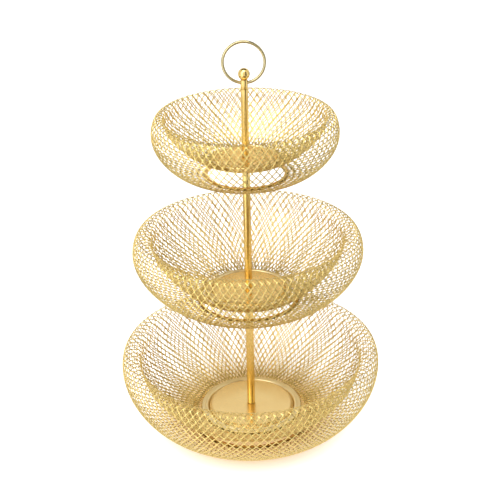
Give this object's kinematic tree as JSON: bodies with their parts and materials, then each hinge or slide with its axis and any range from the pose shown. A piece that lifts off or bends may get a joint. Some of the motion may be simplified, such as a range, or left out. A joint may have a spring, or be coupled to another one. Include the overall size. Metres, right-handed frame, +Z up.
{
  "type": "tiered fruit basket",
  "caption": "Tiered stand of round double-walled wire-mesh bowls, graded in size on a central post with a ball finial and a carrying ring.",
  "frame": {"origin": "centre of the flat underside of the bottom bowl's base ring, on the post's axis, which is the bottom centre of the whole object", "axes": "+Z up along the post; the carrying ring stands in the XZ plane and folds about the X axis"},
  "size_m": [0.301, 0.301, 0.4609],
  "materials": {
    "gilt_mesh": "satin",
    "gilt_trim": "satin",
    "satin_floor": "satin",
    "polished_post": "polished",
    "polished_ring": "polished",
    "plated_steel": "satin"
  },
  "bodies": {
    "stand": {"bottom_base_ring": "gilt_trim", "bottom_basket_mesh": "gilt_mesh", "bottom_clamp_ring": "gilt_trim", "bottom_floor_plate": "satin_floor", "finial_ball": "polished_post", "foot_screw": "plated_steel", "foot_washer": "plated_steel", "lower_post_tube": "polished_post", "lower_tube_foot_insert": "plated_steel", "lower_tube_head_insert": "plated_steel", "middle_base_ring": "gilt_trim", "middle_basket_mesh": "gilt_mesh", "middle_clamp_ring": "gilt_trim", "middle_floor_plate": "satin_floor", "middle_floor_stud": "plated_steel", "middle_post_tube": "polished_post", "middle_tube_foot_insert": "plated_steel", "middle_tube_head_insert": "plated_steel", "ring_eye": "polished_post", "top_base_ring": "gilt_trim", "top_basket_mesh": "gilt_mesh", "top_clamp_ring": "gilt_trim", "top_floor_plate": "satin_floor", "top_floor_stud": "plated_steel", "upper_post_tube": "polished_post", "upper_tube_foot_insert": "plated_steel"},
    "handle": {"carry_ring": "polished_ring"}
  },
  "joints": [
    {"name": "carry_ring_fold", "type": "hinge", "parent": "stand", "child": "handle", "pos_m": [0, 0, 0.4155], "axis": [1, 0, 0], "range_deg": [-170, 170]}
  ]
}
